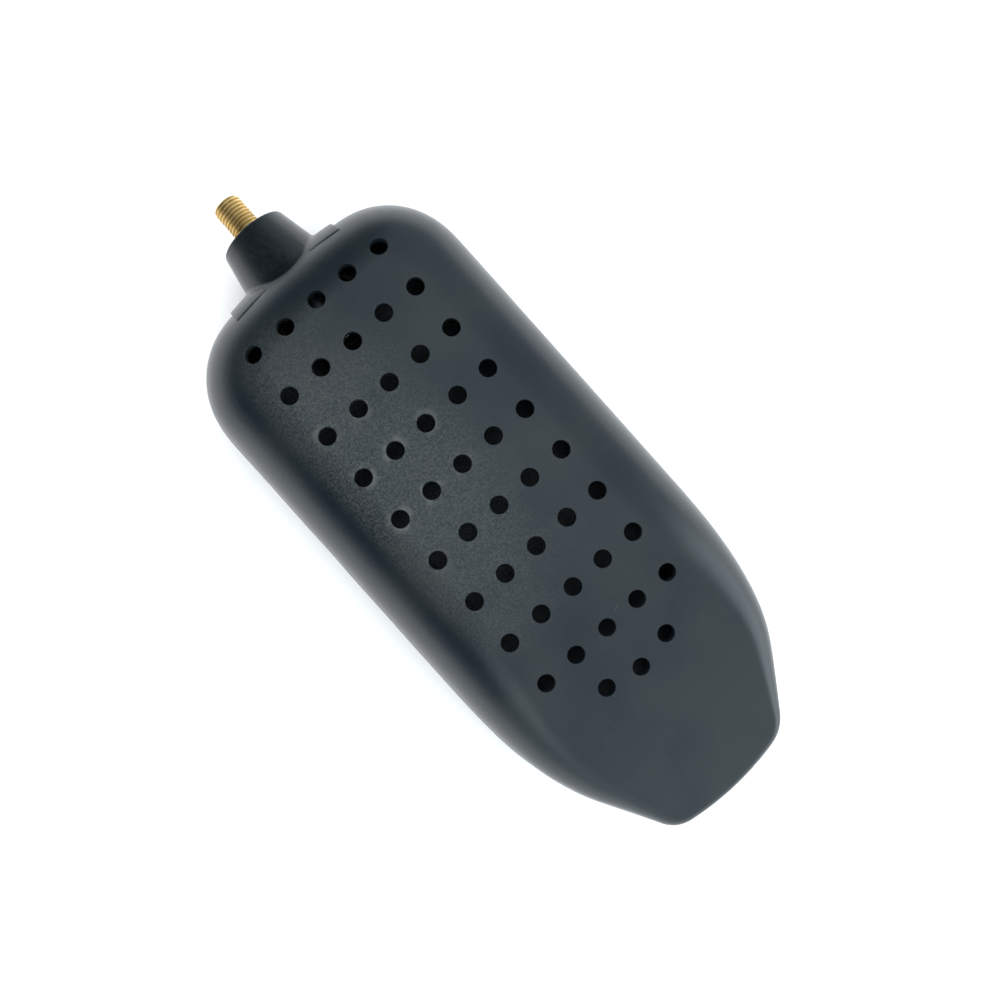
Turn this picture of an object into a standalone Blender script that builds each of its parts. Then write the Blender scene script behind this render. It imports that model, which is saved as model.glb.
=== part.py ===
"""Suction foot valve with a flat, perforated strainer body.

Two half shells make the strainer. A conical neck housing clamps them at one end and holds the check
valve: a spring-loaded poppet on a seat ring, under a hollow threaded outlet nipple.

Metres, +Z up. The valve lies on its back face. The flow runs along +Y, from the tail lip to the nipple,
and the origin is at the bottom centre of the whole valve's box.
"""

import math

import bmesh
import bpy
from mathutils import Euler, Matrix, Vector

# Strainer body
BODY_LENGTH = 0.224
BODY_WIDTH = 0.100
BODY_DEPTH = 0.046
WALL = 0.0025
CORNER_RADIUS = 0.0295
TAPER_LENGTH = 0.0826  # the tail thins from full depth to the lip over this length
TAPER_POWER = 1.05  # 1 is a straight wedge, more starts the slope more gently
LIP_WIDTH = 0.0524
LIP_RADIUS = 0.060  # of the lip's edge in plan
LIP_HALF_DEPTH = 0.0018
CAVITY_LIP_SETBACK = 0.008
CAVITY_LIP_WIDTH = 0.046
CAVITY_LIP_HALF_DEPTH = 0.001
LAND_WIDTH = 0.047  # raised land under the neck, wrapped over the rounded end
LAND_DEPTH = 0.0296
LAND_RISE = 0.0008

# Perforations, the same in both shells
HOLE_RADIUS = 0.00285
HOLE_COLUMNS = 5
HOLE_ROWS = 9
HOLE_PITCH_X = 0.01275
HOLE_PITCH_Y = 0.01684
FIRST_ROW_FROM_NECK_END = 0.0191
TAIL_HOLE_SPREAD = 0.0126  # the two outer tail holes stand this far from the middle
TAIL_HOLE_DROP = 0.0147  # and this far past the last row
TAIL_HOLE_MIDDLE_DROP = 0.0171

# Neck and outlet
NECK_LENGTH = 0.0159
NECK_END_RADIUS = 0.0119
NECK_BASE_RADIUS = 0.0152
NECK_EDGE = 0.0008
TUBE_RADIUS = 0.013
TUBE_LENGTH = 0.0295  # inside the body, from its neck end
CHAMBER_RADIUS = 0.0095
CHAMBER_TOP_WALL = 0.0051
CARTRIDGE_RADIUS = 0.0106  # bore below the chamber, for the seat and the spider
SEAT_SHOULDER_DROP = 0.0137  # from the body's neck end to the cartridge bore's shoulder
STUD_LENGTH = 0.0141
THREAD_RADIUS = 0.005
THREAD_PITCH = 0.00125
THREAD_ROOT_RADIUS = 0.0042
NIPPLE_BORE_RADIUS = 0.003

# Check valve
STEM_RADIUS = 0.002
POPPET_RADIUS = 0.0074
LIFT = 0.004
SPRING_RADIUS = 0.0054
SPRING_WIRE_RADIUS = 0.00045
SPRING_TURNS = 6

GAP = 0.0003  # between pieces that touch
FIT = 0.00015  # radial clearance of a guided piece

AXIS_Z = BODY_DEPTH / 2
TAIL_Y = -(BODY_LENGTH + NECK_LENGTH + STUD_LENGTH) / 2
BODY_END_Y = TAIL_Y + BODY_LENGTH
NECK_END_Y = BODY_END_Y + NECK_LENGTH
NIPPLE_TIP_Y = NECK_END_Y + STUD_LENGTH
TAPER_Y = TAIL_Y + TAPER_LENGTH
NUT_SEAT_Y = BODY_END_Y - 0.0095  # flat inside the shells, round the neck opening
CHAMBER_TOP_Y = NECK_END_Y - CHAMBER_TOP_WALL
SHOULDER_Y = BODY_END_Y - SEAT_SHOULDER_DROP
TUBE_END_Y = BODY_END_Y - TUBE_LENGTH
SEAT_TOP_Y = SHOULDER_Y + 0.0012  # top of the seat ring's raised lip
ROUND_STEPS = 28
FINE_STEPS = 40


# ---------------------------------------------------------------- scene and helpers


def clear_scene():
    for obj in list(bpy.data.objects):
        bpy.data.objects.remove(obj, do_unlink=True)


def new_collection(name):
    collection = bpy.data.collections.new(name)
    bpy.context.scene.collection.children.link(collection)
    return collection


def new_material(name, color, roughness, metallic=0.0):
    material = bpy.data.materials.new(name)
    material.use_nodes = True
    shader = material.node_tree.nodes["Principled BSDF"]
    shader.inputs["Base Color"].default_value = (*color, 1.0)
    shader.inputs["Roughness"].default_value = roughness
    shader.inputs["Metallic"].default_value = metallic
    return material


clear_scene()
PARTS = new_collection("foot_valve")
CUTTERS = new_collection("cutters")
BLACK_PLASTIC = new_material("black_plastic", (0.02, 0.022, 0.025), 0.45)
ACETAL = new_material("white_acetal", (0.75, 0.74, 0.7), 0.4)
RUBBER = new_material("black_rubber", (0.015, 0.015, 0.015), 0.8)
BRASS = new_material("brass", (0.72, 0.5, 0.2), 0.28, 1.0)
STEEL = new_material("stainless_steel", (0.6, 0.6, 0.6), 0.3, 1.0)

VALVE_AXIS = bpy.data.objects.new("valve_axis", None)
VALVE_AXIS.location = (0, 0, AXIS_Z)
VALVE_AXIS.rotation_euler = (-math.pi / 2, 0, 0)  # its local Z is the valve's +Y
PARTS.objects.link(VALVE_AXIS)
POPPET_SLIDE = bpy.data.objects.new("poppet_slide", None)
POPPET_SLIDE.parent = VALVE_AXIS
PARTS.objects.link(POPPET_SLIDE)


def add_object(name, data, material=None, parent=None):
    """A part when it has a material, and otherwise a cutter, which isn't rendered."""
    obj = bpy.data.objects.new(name, data)
    obj.parent = parent
    if material:
        data.materials.append(material)
        PARTS.objects.link(obj)
    else:
        obj.hide_render = True
        obj.display_type = "WIRE"
        CUTTERS.objects.link(obj)
    return obj


def mesh_from(bm, name, sharp_angle=math.radians(35)):
    bmesh.ops.recalc_face_normals(bm, faces=bm.faces)
    mesh = bpy.data.meshes.new(name)
    bm.to_mesh(mesh)
    bm.free()
    mesh.shade_smooth()
    mesh.set_sharp_from_angle(angle=sharp_angle)
    return mesh


def boolean(obj, operation, other):
    modifier = obj.modifiers.new(f"{operation.lower()} {other.name}", "BOOLEAN")
    modifier.operation = operation
    modifier.object = other
    modifier.solver = "EXACT"


def box(name, low, high, **placing):
    bm = bmesh.new()
    size = Vector(high) - Vector(low)
    centre = (Vector(high) + Vector(low)) / 2
    bmesh.ops.create_cube(bm, matrix=Matrix.LocRotScale(centre, None, size))
    return add_object(name, mesh_from(bm, name), **placing)


def cylinder(name, start, end, radius, steps=ROUND_STEPS, **placing):
    """A closed cylinder from one point to another."""
    start, end = Vector(start), Vector(end)
    turn = Vector((0, 0, 1)).rotation_difference(end - start)
    place = Matrix.LocRotScale((start + end) / 2, turn, None)
    bm = bmesh.new()
    bmesh.ops.create_cone(
        bm, cap_ends=True, segments=steps, radius1=radius, radius2=radius,
        depth=(end - start).length, matrix=place,
    )
    return add_object(name, mesh_from(bm, name), **placing)


def turned(name, profile, steps=ROUND_STEPS, **placing):
    """A solid of revolution on the valve's axis. The profile's points are (radius, y), down its outer
    side; it closes on itself, or on the axis where its ends have no radius."""
    bm = bmesh.new()
    points = [bm.verts.new((radius, 0, y)) for radius, y in profile]
    for first, second in zip(points, points[1:]):
        bm.edges.new((first, second))
    if profile[0][0] > 0:
        bm.edges.new((points[-1], points[0]))
    mesh = bpy.data.meshes.new(name)
    bm.to_mesh(mesh)
    bm.free()
    obj = add_object(name, mesh, **placing)
    screw = obj.modifiers.new("turn", "SCREW")
    screw.axis = "Z"
    screw.angle = 2 * math.pi
    screw.steps = screw.render_steps = steps
    screw.use_merge_vertices = True
    screw.merge_threshold = 1e-5
    return obj


def washer(name, inner, outer, low_y, high_y, **placing):
    profile = [(inner, high_y), (outer, high_y), (outer, low_y), (inner, low_y)]
    return turned(name, profile, **placing)


# ---------------------------------------------------------------- strainer body


def rounding(distance, radius):
    """Height of a quarter-round edge, as a share of its full height, at this distance from its foot."""
    share = min(max(distance / radius, 0.0), 1.0)
    return math.sqrt(1 - (1 - share) ** 2)


class HalfForm:
    """Half of the body's form, as a height over the parting plane. An inset form is the cavity."""

    def __init__(self, inset, tip_y, lip_width, lip_depth):
        self.half_width = BODY_WIDTH / 2 - inset
        self.depth = BODY_DEPTH / 2 - inset
        self.end_y = BODY_END_Y - inset
        self.corner = CORNER_RADIUS - inset
        self.tip_y = tip_y
        self.lip_depth = lip_depth
        self.lip_corner_y = tip_y + self.lip_arc(lip_width / 2)
        # The tail's sides follow an ellipse that runs from the full width to the lip's corners.
        narrowing = math.sqrt(1 - (lip_width / 2 / self.half_width) ** 2)
        self.ellipse = (TAPER_Y - self.lip_corner_y) / narrowing

    @staticmethod
    def lip_arc(x):
        return LIP_RADIUS - math.sqrt(LIP_RADIUS**2 - x**2)

    def side(self, y):
        """Half-width of the plan outline."""
        if y > self.end_y - self.corner:
            along = min(y - self.end_y + self.corner, self.corner)
            return self.half_width - self.corner + math.sqrt(self.corner**2 - along**2)
        along = max(TAPER_Y - y, 0) / self.ellipse
        return self.half_width * math.sqrt(1 - along**2)

    def full_depth(self, y):
        """Depth on the middle line."""
        share = max(TAPER_Y - y, 0) / (TAPER_Y - self.tip_y)
        return self.depth - (self.depth - self.lip_depth) * min(share, 1) ** TAPER_POWER

    def height(self, x, y):
        depth = self.full_depth(y)
        if y >= TAPER_Y:
            over_x = abs(x) - self.half_width + self.corner
            over_y = y - self.end_y + self.corner
            outside = math.hypot(max(over_x, 0), max(over_y, 0)) + min(max(over_x, over_y), 0)
            return depth * rounding(self.corner - outside, depth)
        side = max(self.side(y), 1e-6)
        slope = self.half_width**2 * (TAPER_Y - y) / (self.ellipse**2 * side)
        side_distance = (side - abs(x)) / math.hypot(1, slope)
        lip_distance = y - self.tip_y - self.lip_arc(x)
        return depth * rounding(side_distance, depth) * rounding(lip_distance, self.lip_depth)

    def normal(self, x, y):
        step = 1e-5
        slope_x = (self.height(x + step, y) - self.height(x - step, y)) / (2 * step)
        slope_y = (self.height(x, y + step) - self.height(x, y - step)) / (2 * step)
        return Vector((-slope_x, -slope_y, 1)).normalized()

    def rows(self):
        """(y at the row's ends, share of the lip's bow) of the rows that cross the body."""
        end_steps, tail_steps, lip_steps = 6, 8, 2
        angles = [step / end_steps * math.pi / 2 for step in range(end_steps + 1)]
        found = [(self.end_y - self.depth * (1 - math.cos(a)), 0.0) for a in angles]
        found.append((self.end_y - self.corner, 0.0))
        lip_start = self.lip_corner_y + self.lip_depth
        for step in range(tail_steps + 1):
            share = step / tail_steps
            found.append((TAPER_Y + (lip_start - TAPER_Y) * share, share**2))
        for step in range(1, lip_steps + 1):
            in_from_lip = 1 - math.sin(step / lip_steps * math.pi / 2)
            found.append((self.lip_corner_y + self.lip_depth * in_from_lip, 1.0))
        return found

    def columns(self, row_y):
        """x of a row's points, from side to side, closer together on the rounded edges."""
        edge_steps, flat_steps = 6, 2
        side = self.side(row_y)
        edge = min(self.full_depth(row_y), 0.6 * side)
        angles = [step / edge_steps * math.pi / 2 for step in range(edge_steps)]
        half = [side - edge * (1 - math.cos(a)) for a in angles]
        half += [(side - edge) * (1 - step / flat_steps) for step in range(flat_steps)]
        return [-x for x in half] + [0.0] + half[::-1]

    def points(self):
        """The form's upper surface, as rows of points. Its outline is at height 0."""
        surface = []
        for row_y, bow in self.rows():
            across = self.columns(row_y)
            arc_end = self.lip_arc(across[-1])
            row = []
            for x in across:
                y = row_y - bow * (arc_end - self.lip_arc(x))
                row.append(Vector((x, y, self.height(x, y))))
            row[0].z = row[-1].z = 0.0
            surface.append(row)
        for outline_row in (surface[0], surface[-1]):
            for point in outline_row:
                point.z = 0.0
        return surface


OUTER = HalfForm(0.0, TAIL_Y, LIP_WIDTH, LIP_HALF_DEPTH)
CAVITY = HalfForm(WALL, TAIL_Y + CAVITY_LIP_SETBACK, CAVITY_LIP_WIDTH, CAVITY_LIP_HALF_DEPTH)
RAISED = HalfForm(-LAND_RISE, TAIL_Y, LIP_WIDTH, LIP_HALF_DEPTH)  # the land's surface


def half_solid(name, form, facing, skirt=0.0, **placing):
    """A closed solid under the form's surface. facing is 1 for the front half and -1 for the back half,
    and skirt carries the solid on through the parting plane."""
    surface = form.points()
    rows, columns = len(surface) - 1, len(surface[0]) - 1
    bm = bmesh.new()
    bmesh.ops.create_grid(bm, x_segments=columns, y_segments=rows, size=1.0)
    for vert in bm.verts:
        row = round((vert.co.y + 1) / 2 * rows)
        column = round((vert.co.x + 1) / 2 * columns)
        point = surface[row][column]
        vert.co = (point.x, point.y, AXIS_Z + facing * point.z)
    outline = [edge for edge in bm.edges if edge.is_boundary]
    if skirt:
        grown = bmesh.ops.extrude_edge_only(bm, edges=outline)["geom"]
        moved = [item for item in grown if isinstance(item, bmesh.types.BMVert)]
        bmesh.ops.translate(bm, verts=moved, vec=(0, 0, -facing * skirt))
        outline = [edge for edge in bm.edges if edge.is_boundary]
    bmesh.ops.contextual_create(bm, geom=outline)
    bmesh.ops.triangulate(bm, faces=bm.faces)
    return add_object(name, mesh_from(bm, name), **placing)


def hole_places():
    """(x, y) of each perforation."""
    first_y = BODY_END_Y - FIRST_ROW_FROM_NECK_END
    middle = (HOLE_COLUMNS - 1) / 2
    places = [
        ((column - middle) * HOLE_PITCH_X, first_y - row * HOLE_PITCH_Y)
        for row in range(HOLE_ROWS)
        for column in range(HOLE_COLUMNS)
    ]
    last_y = first_y - (HOLE_ROWS - 1) * HOLE_PITCH_Y
    places += [(side * TAIL_HOLE_SPREAD, last_y - TAIL_HOLE_DROP) for side in (-1, 1)]
    places.append((0.0, last_y - TAIL_HOLE_MIDDLE_DROP))
    return places


def perforations(name):
    """One cutter with a drill for each hole, square to the front surface that it goes through."""
    drill_length, steps = 0.010, 12
    bm = bmesh.new()
    for x, y in hole_places():
        normal = OUTER.normal(x, y)
        surface = Vector((x, y, AXIS_Z + OUTER.height(x, y)))
        turn = Vector((0, 0, 1)).rotation_difference(normal)
        place = Matrix.LocRotScale(surface - normal * WALL / 2, turn, None)
        bmesh.ops.create_cone(
            bm, cap_ends=True, segments=steps, radius1=HOLE_RADIUS, radius2=HOLE_RADIUS,
            depth=drill_length, matrix=place,
        )
    return add_object(name, mesh_from(bm, name))


def shell(side, facing):
    """A half shell: the outer form and the neck's land, less the cavity and the neck opening, cut flat
    along the parting plane. Only the front shell is perforated."""
    half_land, overlap, skirt = LAND_WIDTH / 2, 0.006, 0.002
    body = half_solid(f"{side}_shell", OUTER, facing, skirt, material=BLACK_PLASTIC)
    land = box(
        f"{side}_land",
        (-half_land, BODY_END_Y - 2 * overlap, AXIS_Z - LAND_DEPTH / 2),
        (half_land, BODY_END_Y + overlap, AXIS_Z + LAND_DEPTH / 2),
    )
    boolean(land, "INTERSECT", half_solid(f"{side}_raised", RAISED, facing, 1.5 * skirt))
    cavity = half_solid(f"{side}_cavity", CAVITY, facing, 2 * skirt)
    neck_root = box(
        f"{side}_neck_root",
        (-half_land, NUT_SEAT_Y, -2 * skirt),
        (half_land, BODY_END_Y + overlap, BODY_DEPTH + 2 * skirt),
    )
    opening = cylinder(
        f"{side}_neck_opening",
        (0, NUT_SEAT_Y - overlap, AXIS_Z),
        (0, BODY_END_Y + overlap, AXIS_Z),
        TUBE_RADIUS + 2 * FIT,
        FINE_STEPS,
    )
    other_half = box(
        f"{side}_parting",
        (-BODY_WIDTH, 2 * TAIL_Y, AXIS_Z + facing * GAP / 2 - BODY_WIDTH / 2 * (1 + facing)),
        (BODY_WIDTH, 2 * NIPPLE_TIP_Y, AXIS_Z + facing * GAP / 2 + BODY_WIDTH / 2 * (1 - facing)),
    )
    boolean(cavity, "DIFFERENCE", neck_root)
    boolean(body, "UNION", land)
    cutters = [cavity, opening, other_half]
    if facing > 0:
        cutters.append(perforations("perforations"))
    for cutter in cutters:
        boolean(body, "DIFFERENCE", cutter)


# ---------------------------------------------------------------- neck and outlet


def neck_housing():
    """The conical neck, with the valve chamber and the tube that goes through the shells. Its skirt is
    cut to the land on the body's rounded end."""
    skirt_y = BODY_END_Y - 0.0075
    spread = (NECK_BASE_RADIUS - NECK_END_RADIUS) / NECK_LENGTH
    groove_low, groove_high = TUBE_END_Y + 0.0041, TUBE_END_Y + 0.0059
    groove_radius, bore = 0.0115, THREAD_RADIUS + 2 * FIT
    profile = [
        (bore, NECK_END_Y),
        (NECK_END_RADIUS - NECK_EDGE, NECK_END_Y),
        (NECK_END_RADIUS - NECK_EDGE * 0.3, NECK_END_Y - NECK_EDGE * 0.3),
        (NECK_END_RADIUS + NECK_EDGE * spread, NECK_END_Y - NECK_EDGE),
        (NECK_END_RADIUS + (NECK_END_Y - skirt_y) * spread, skirt_y),
        (TUBE_RADIUS, skirt_y),
        (TUBE_RADIUS, TUBE_END_Y),
        (CARTRIDGE_RADIUS, TUBE_END_Y),
        (CARTRIDGE_RADIUS, groove_low),
        (groove_radius, groove_low),
        (groove_radius, groove_high),
        (CARTRIDGE_RADIUS, groove_high),
        (CARTRIDGE_RADIUS, SHOULDER_Y),
        (CHAMBER_RADIUS, SHOULDER_Y),
        (CHAMBER_RADIUS, CHAMBER_TOP_Y),
        (bore, CHAMBER_TOP_Y),
    ]
    housing = turned("neck_housing", profile, FINE_STEPS, material=BLACK_PLASTIC, parent=VALVE_AXIS)

    half_width = NECK_BASE_RADIUS + 0.005
    end_round = cylinder(
        "body_end_round",
        (-half_width, BODY_END_Y - BODY_DEPTH / 2, AXIS_Z),
        (half_width, BODY_END_Y - BODY_DEPTH / 2, AXIS_Z),
        BODY_DEPTH / 2 + LAND_RISE + GAP,
        64,
    )
    tube = cylinder(
        "tube_clearance",
        (0, TAIL_Y, AXIS_Z),
        (0, NIPPLE_TIP_Y, AXIS_Z),
        TUBE_RADIUS + FIT,
        FINE_STEPS,
    )
    boolean(end_round, "DIFFERENCE", tube)
    boolean(housing, "DIFFERENCE", end_round)
    return housing


def ring_nut():
    """The slotted nut on the tube that clamps both shells against the neck's skirt."""
    outer, inner, thickness = 0.015, TUBE_RADIUS + FIT, 0.0038
    slot_width, slot_floor, slots = 0.0035, 0.0137, 4
    high_y = NUT_SEAT_Y - 0.0008 - 2 * GAP
    nut = washer("neck_ring_nut", inner, outer, high_y - thickness, high_y,
                 steps=FINE_STEPS, material=BRASS, parent=VALVE_AXIS)
    for index in range(slots):
        slot = box(
            f"nut_slot_{index + 1}",
            (slot_floor, -slot_width / 2, high_y - 2 * thickness),
            (outer + 2 * GAP, slot_width / 2, high_y + thickness),
            parent=VALVE_AXIS,
        )
        slot.rotation_euler = Euler((0, 0, (index + 0.5) * 2 * math.pi / slots))
        boolean(nut, "DIFFERENCE", slot)
    washer("neck_washer", inner, outer, NUT_SEAT_Y - 0.0008 - GAP, NUT_SEAT_Y - GAP,
           steps=FINE_STEPS, material=STEEL, parent=VALVE_AXIS)


def outlet_nipple():
    """The hollow brass stud. Its collar bears on a seal under the chamber's top, and a spigot below
    the collar centres the spring."""
    collar_high = CHAMBER_TOP_Y - 0.0018
    collar_low = collar_high - 0.003
    collar, spigot, spigot_length = CHAMBER_RADIUS - 2 * FIT, 0.0044, 0.002
    chamfer, run_out = 0.0004, NECK_END_Y + 0.0006
    profile = [
        (NIPPLE_BORE_RADIUS, NIPPLE_TIP_Y),
        (THREAD_ROOT_RADIUS - 0.0002, NIPPLE_TIP_Y),
        (THREAD_ROOT_RADIUS, NIPPLE_TIP_Y - chamfer),
    ]
    crest_y = NIPPLE_TIP_Y - chamfer - THREAD_PITCH / 2
    while crest_y > run_out + THREAD_PITCH / 2:
        profile.append((THREAD_RADIUS, crest_y))
        profile.append((THREAD_ROOT_RADIUS, crest_y - THREAD_PITCH / 2))
        crest_y -= THREAD_PITCH
    profile += [
        (THREAD_RADIUS, run_out),
        (THREAD_RADIUS, collar_high),
        (collar, collar_high),
        (collar, collar_low),
        (spigot, collar_low),
        (spigot, collar_low - spigot_length),
        (NIPPLE_BORE_RADIUS, collar_low - spigot_length),
    ]
    turned("outlet_nipple", profile, material=BRASS, parent=VALVE_AXIS)
    o_ring("nipple_seal", 0.0073, 0.00075, (CHAMBER_TOP_Y + collar_high) / 2)
    return collar_low


def o_ring(name, radius, section, y):
    corners = 10
    angles = [-step / corners * 2 * math.pi for step in range(corners)]
    profile = [(radius + section * math.cos(a), y + section * math.sin(a)) for a in angles]
    return turned(name, profile, material=RUBBER, parent=VALVE_AXIS)


# ---------------------------------------------------------------- check valve


def seat():
    """The brass seat ring with its raised lip, and the gasket between it and the housing's shoulder."""
    gasket_thickness, outer, ring_thickness = 0.0009, CARTRIDGE_RADIUS - 2 * FIT, 0.004
    bore, lip_radius = 0.0052, 0.0066
    gasket_low = SHOULDER_Y - GAP - gasket_thickness
    washer("seat_gasket", lip_radius + 4 * FIT, outer, gasket_low, SHOULDER_Y - GAP,
           material=RUBBER, parent=VALVE_AXIS)
    ring_high = gasket_low - GAP
    ring_low = ring_high - ring_thickness
    profile = [
        (bore, SEAT_TOP_Y),
        (bore + 0.0007, SEAT_TOP_Y),
        (lip_radius, SEAT_TOP_Y - 0.0008),
        (lip_radius, ring_high),
        (outer, ring_high),
        (outer, ring_low),
        (bore, ring_low),
    ]
    turned("seat_ring", profile, material=BRASS, parent=VALVE_AXIS)
    return ring_low


def guide_spider(high_y):
    """A ring and a hub joined by three arms. The hub guides the poppet's stem."""
    ring_outer, ring_inner, hub_radius = CARTRIDGE_RADIUS - 2 * FIT, 0.0086, 0.0036
    thickness, arm_width, arms, overlap = 0.004, 0.0018, 3, 0.0006
    low_y = high_y - thickness
    spider = washer("guide_spider", ring_inner, ring_outer, low_y, high_y,
                    material=ACETAL, parent=VALVE_AXIS)
    hub = washer("spider_hub", STEM_RADIUS + FIT, hub_radius, low_y, high_y, parent=VALVE_AXIS)
    for index in range(arms):
        arm = box(
            f"spider_arm_{index + 1}",
            (hub_radius - overlap, -arm_width / 2, low_y + overlap),
            (ring_inner + overlap, arm_width / 2, high_y - overlap),
            parent=VALVE_AXIS,
        )
        arm.rotation_euler = Euler((0, 0, index * 2 * math.pi / arms))
        boolean(hub, "UNION", arm)
    boolean(spider, "UNION", hub)
    return low_y


def retaining_ring(high_y):
    """The circlip that holds the spider and the seat in the cartridge bore."""
    outer, inner, thickness, mouth = 0.0113, 0.0094, 0.0012, 0.006
    clip = washer("retaining_ring", inner, outer, high_y - thickness, high_y,
                  steps=FINE_STEPS, material=STEEL, parent=VALVE_AXIS)
    gap = box(
        "retaining_ring_mouth",
        (0, -mouth / 2, high_y - 2 * thickness),
        (2 * outer, mouth / 2, high_y + thickness),
        parent=VALVE_AXIS,
    )
    boolean(clip, "DIFFERENCE", gap)


def poppet(hub_low_y):
    """Everything that lifts: the disc on its stem, the rubber facing, its washer and nut, and the clip
    that stops the lift against the spider's hub."""
    facing_low = SEAT_TOP_Y + FIT
    facing_high = facing_low + 0.002
    disc_low = facing_high + FIT
    disc_high = disc_low + 0.002
    spigot_radius, spigot_high = 0.0044, disc_high + 0.003
    clip_high = hub_low_y - LIFT
    clip_low = clip_high - 0.0008
    stem_low = clip_low - 0.0006
    turned(
        "poppet",
        [
            (0.0, spigot_high),
            (spigot_radius - 0.0008, spigot_high),
            (spigot_radius, spigot_high - 0.0008),
            (spigot_radius, disc_high),
            (POPPET_RADIUS, disc_high),
            (POPPET_RADIUS, disc_low),
            (STEM_RADIUS, disc_low),
            (STEM_RADIUS, stem_low),
            (0.0, stem_low),
        ],
        material=ACETAL,
        parent=POPPET_SLIDE,
    )
    bore = STEM_RADIUS + FIT
    washer("poppet_seal", bore, POPPET_RADIUS, facing_low, facing_high,
           material=RUBBER, parent=POPPET_SLIDE)
    washer_high = facing_low - FIT
    washer_low = washer_high - 0.001
    washer("seal_washer", bore, 0.0046, washer_low, washer_high, material=BRASS, parent=POPPET_SLIDE)
    nut_across_corners, nut_thickness = 0.0081, 0.0028
    nut_high = washer_low - FIT
    nut = cylinder("poppet_nut", (0, 0, nut_high - nut_thickness), (0, 0, nut_high),
                   nut_across_corners / 2, 6, material=BRASS, parent=POPPET_SLIDE)
    nut_bore = cylinder("poppet_nut_bore", (0, 0, nut_high - 2 * nut_thickness),
                        (0, 0, nut_high + nut_thickness), bore, parent=POPPET_SLIDE)
    boolean(nut, "DIFFERENCE", nut_bore)
    washer("stem_clip", bore, 0.0034, clip_low, clip_high, material=STEEL, parent=POPPET_SLIDE)
    return disc_high


def return_spring(low_y, high_y):
    """A compression spring with a closed turn at each end, from the poppet's disc to the collar."""
    points_per_turn = 12
    count = SPRING_TURNS * points_per_turn
    low = low_y + SPRING_WIRE_RADIUS + FIT
    high = high_y - SPRING_WIRE_RADIUS - FIT
    closed = 2.4 * SPRING_WIRE_RADIUS  # rise of each end turn
    curve = bpy.data.curves.new("return_spring", "CURVE")
    curve.dimensions = "3D"
    curve.bevel_depth = SPRING_WIRE_RADIUS
    curve.bevel_resolution = 2
    curve.use_fill_caps = True
    spline = curve.splines.new("POLY")
    spline.points.add(count)
    for index, point in enumerate(spline.points):
        turn = index / points_per_turn
        if turn < 1:
            y = low + closed * turn
        elif turn > SPRING_TURNS - 1:
            y = high - closed * (SPRING_TURNS - turn)
        else:
            share = (turn - 1) / (SPRING_TURNS - 2)
            y = low + closed + (high - low - 2 * closed) * share
        angle = 2 * math.pi * turn
        x, z = SPRING_RADIUS * math.cos(angle), SPRING_RADIUS * math.sin(angle)
        point.co = (x, z, y, 1)
    return add_object("return_spring", curve, material=STEEL, parent=VALVE_AXIS)


shell("front", 1)
shell("back", -1)
neck_housing()
ring_nut()
spring_top_y = outlet_nipple()
spider_top_y = seat() - GAP
hub_bottom_y = guide_spider(spider_top_y)
retaining_ring(hub_bottom_y - GAP)
spring_bottom_y = poppet(hub_bottom_y)
return_spring(spring_bottom_y, spring_top_y)
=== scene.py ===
"""The visual model of the foot valve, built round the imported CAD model.

Metres, +Z up. The valve lies on its back face and the flow is along +Y, from the tail lip to the nipple.
"""

import math
import random

import bmesh
import bpy
from mathutils import Matrix, Vector


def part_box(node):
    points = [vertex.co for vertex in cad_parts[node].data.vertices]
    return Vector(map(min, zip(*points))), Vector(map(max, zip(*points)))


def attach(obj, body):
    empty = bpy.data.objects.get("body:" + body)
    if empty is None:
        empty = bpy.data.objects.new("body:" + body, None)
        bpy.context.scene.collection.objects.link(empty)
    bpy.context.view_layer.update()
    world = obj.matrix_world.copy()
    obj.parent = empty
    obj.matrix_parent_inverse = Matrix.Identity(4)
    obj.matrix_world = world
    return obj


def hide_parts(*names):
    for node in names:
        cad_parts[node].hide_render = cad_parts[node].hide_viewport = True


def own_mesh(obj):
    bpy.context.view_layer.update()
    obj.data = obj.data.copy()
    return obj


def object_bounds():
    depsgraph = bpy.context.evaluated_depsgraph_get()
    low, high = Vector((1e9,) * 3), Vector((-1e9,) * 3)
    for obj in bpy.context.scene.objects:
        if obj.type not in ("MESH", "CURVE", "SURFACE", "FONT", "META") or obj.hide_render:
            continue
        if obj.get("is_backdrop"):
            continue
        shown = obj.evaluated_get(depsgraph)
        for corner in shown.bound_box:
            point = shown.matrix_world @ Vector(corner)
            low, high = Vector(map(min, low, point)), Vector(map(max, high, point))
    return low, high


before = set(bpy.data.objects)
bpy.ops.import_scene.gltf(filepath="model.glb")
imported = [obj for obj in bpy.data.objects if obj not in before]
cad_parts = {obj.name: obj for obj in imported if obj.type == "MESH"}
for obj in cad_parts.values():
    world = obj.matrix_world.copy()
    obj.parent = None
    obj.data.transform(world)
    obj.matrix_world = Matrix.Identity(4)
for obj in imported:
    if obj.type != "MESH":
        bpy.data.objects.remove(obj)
CAD_LOW, CAD_HIGH = (list(corner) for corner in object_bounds())

MM = 0.001
BODY = "valve_body"
POPPET = "poppet_assembly"
TAU = 2 * math.pi

# ---- sizes, from the CAD model

AXIS_Z = (CAD_LOW[2] + CAD_HIGH[2]) / 2
HALF_DEPTH = (CAD_HIGH[2] - CAD_LOW[2]) / 2
HALF_WIDTH = (CAD_HIGH[0] - CAD_LOW[0]) / 2
TAIL_Y, NIPPLE_TIP_Y = CAD_LOW[1], CAD_HIGH[1]
BODY_END_Y = 97.0 * MM
NECK_END_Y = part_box("neck_housing")[1][1]
TUBE_END_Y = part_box("neck_housing")[0][1]

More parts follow.
